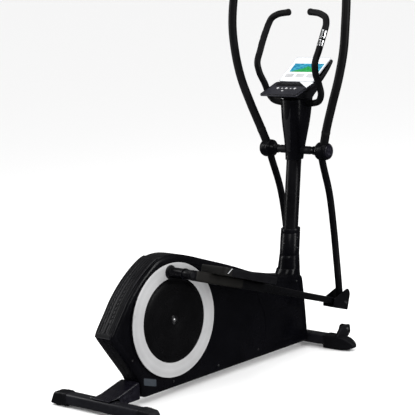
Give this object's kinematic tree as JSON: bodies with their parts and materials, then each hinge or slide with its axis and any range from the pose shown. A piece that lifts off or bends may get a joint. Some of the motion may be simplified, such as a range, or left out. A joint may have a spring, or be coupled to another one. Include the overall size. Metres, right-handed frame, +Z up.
{
  "type": "elliptical trainer",
  "caption": "Rear-drive elliptical trainer: housed crank discs, pedal arms with foot plates, swinging handles, fixed handlebar, console and floor stabilisers.",
  "frame": {"origin": "floor level, at the middle of the machine's box", "axes": "+X to the rider's right, +Y the way the rider faces, +Z up"},
  "size_m": [0.6598, 1.4838, 1.6599],
  "materials": {
    "black_paint": "satin black powder coat",
    "black_plastic": "fine textured black",
    "gloss_plastic": "polished black",
    "rubber": "matte black",
    "grip_foam": "soft black foam",
    "silver_ring": "satin silver",
    "steel": "plain steel",
    "boss_steel": "gloss black",
    "cast_iron": "dark cast iron",
    "display_white": "white panel",
    "button_white": "pale keys"
  },
  "bodies": {
    "frame": {"main_rail": "black_paint", "rear_stabiliser": "black_paint", "front_stabiliser": "black_paint", "rear_end_cap_left": "black_plastic", "rear_end_cap_right": "black_plastic", "front_end_cap_left": "black_plastic", "front_end_cap_right": "black_plastic", "rear_saddle_cover": "black_plastic", "housing_shell_left": "gloss_plastic", "housing_shell_right": "gloss_plastic", "housing_rear_cover": "black_plastic", "mast_tube": "black_paint", "mast_sleeve": "gloss_plastic", "mast_boot": "gloss_plastic", "mast_upper_shroud": "gloss_plastic", "mast_axle": "steel", "fixed_handlebar": "grip_foam", "console_body": "black_plastic", "console_faceplate": "gloss_plastic", "display_panel": "display_white", "brake_servo": "black_plastic", "crank_plate_left": "black_paint", "crank_plate_right": "black_paint", "crank_bearing_left": "steel", "crank_bearing_right": "steel", "flywheel_bracket": "black_paint", "drive_belt": "rubber"},
    "crank": {"crank_axle": "steel", "crank_arm_left": "black_paint", "crank_arm_right": "black_paint", "crank_disc_left": "gloss_plastic", "crank_disc_right": "gloss_plastic", "disc_ring_left": "silver_ring", "disc_ring_right": "silver_ring", "drive_pulley": "black_plastic"},
    "flywheel": {"flywheel": "cast_iron"},
    "brake": {"magnet_brake": "steel"},
    "swing_right": {"swing_hub_right": "black_paint", "handle_upper_right": "grip_foam", "swing_arm_lower_right": "black_paint"},
    "pedal_right": {"pedal_arm_right": "black_paint", "fork_bracket_right": "black_paint", "fork_pin_right": "steel", "crank_pin_right": "boss_steel", "foot_plate_right": "black_plastic"},
    "wheel_right": {"transport_wheel_right": "rubber"},
    "foot_right": {"levelling_foot_right": "rubber"},
    "swing_left": {"swing_hub_left": "black_paint", "handle_upper_left": "grip_foam", "swing_arm_lower_left": "black_paint"},
    "pedal_left": {"pedal_arm_left": "black_paint", "fork_bracket_left": "black_paint", "fork_pin_left": "steel", "crank_pin_left": "boss_steel", "foot_plate_left": "black_plastic"},
    "wheel_left": {"transport_wheel_left": "rubber"},
    "foot_left": {"levelling_foot_left": "rubber"},
    "key_1": {"button_1": "button_white"},
    "key_2": {"button_2": "button_white"},
    "key_3": {"button_3": "button_white"}
  },
  "joints": [
    {"name": "crank_turn", "type": "hinge", "parent": "frame", "child": "crank", "pos_m": [0, -0.3468, 0.322], "axis": [1, 0, 0], "continuous": true},
    {"name": "flywheel_spin", "type": "hinge", "parent": "frame", "child": "flywheel", "pos_m": [0, 0.0135, 0.25], "axis": [1, 0, 0], "continuous": true},
    {"name": "brake_swing", "type": "hinge", "parent": "frame", "child": "brake", "pos_m": [0, 0.11909, 0.1675], "axis": [-1, 0, 0], "range_deg": [0, 6]},
    {"name": "arm_swing_right", "type": "hinge", "parent": "frame", "child": "swing_right", "pos_m": [0.165, 0.5675, 0.907], "axis": [1, 0, 0], "range_deg": [-12.5, 17.5]},
    {"name": "arm_swing_left", "type": "hinge", "parent": "frame", "child": "swing_left", "pos_m": [-0.165, 0.5675, 0.907], "axis": [1, 0, 0], "range_deg": [-17.5, 12.5]},
    {"name": "pedal_pivot_right", "type": "hinge", "parent": "swing_right", "child": "pedal_right", "pos_m": [0.172, 0.6185, 0.2035], "axis": [1, 0, 0], "range_deg": [-17.5, 12.5]},
    {"name": "pedal_pivot_left", "type": "hinge", "parent": "swing_left", "child": "pedal_left", "pos_m": [-0.172, 0.67772, 0.21032], "axis": [1, 0, 0], "range_deg": [-12.5, 17.5]},
    {"name": "wheel_roll_right", "type": "hinge", "parent": "frame", "child": "wheel_right", "pos_m": [0.186, 0.6145, 0.082], "axis": [1, 0, 0], "continuous": true},
    {"name": "foot_screw_right", "type": "slide", "parent": "frame", "child": "foot_right", "axis": [0, 0, -1], "range_m": [0, 0.008]},
    {"name": "wheel_roll_left", "type": "hinge", "parent": "frame", "child": "wheel_left", "pos_m": [-0.186, 0.6145, 0.082], "axis": [1, 0, 0], "continuous": true},
    {"name": "foot_screw_left", "type": "slide", "parent": "frame", "child": "foot_left", "axis": [0, 0, -1], "range_m": [0, 0.008]},
    {"name": "key_press_1", "type": "slide", "parent": "frame", "child": "key_1", "axis": [0, 0.3263, -0.9453], "range_m": [0, 0.0015], "stiffness_N_per_m": 400},
    {"name": "key_press_2", "type": "slide", "parent": "frame", "child": "key_2", "axis": [0, 0.3263, -0.9453], "range_m": [0, 0.0015], "stiffness_N_per_m": 400},
    {"name": "key_press_3", "type": "slide", "parent": "frame", "child": "key_3", "axis": [0, 0.3263, -0.9453], "range_m": [0, 0.0015], "stiffness_N_per_m": 400}
  ],
  "couplings": [
    {"joint": "flywheel_spin", "follows": "crank_turn", "ratio": 5.4167},
    {"joint": "arm_swing_left", "follows": "arm_swing_right", "ratio": -1},
    {"joint": "pedal_pivot_right", "follows": "arm_swing_right", "ratio": -1},
    {"joint": "pedal_pivot_left", "follows": "arm_swing_right", "ratio": 1}
  ]
}
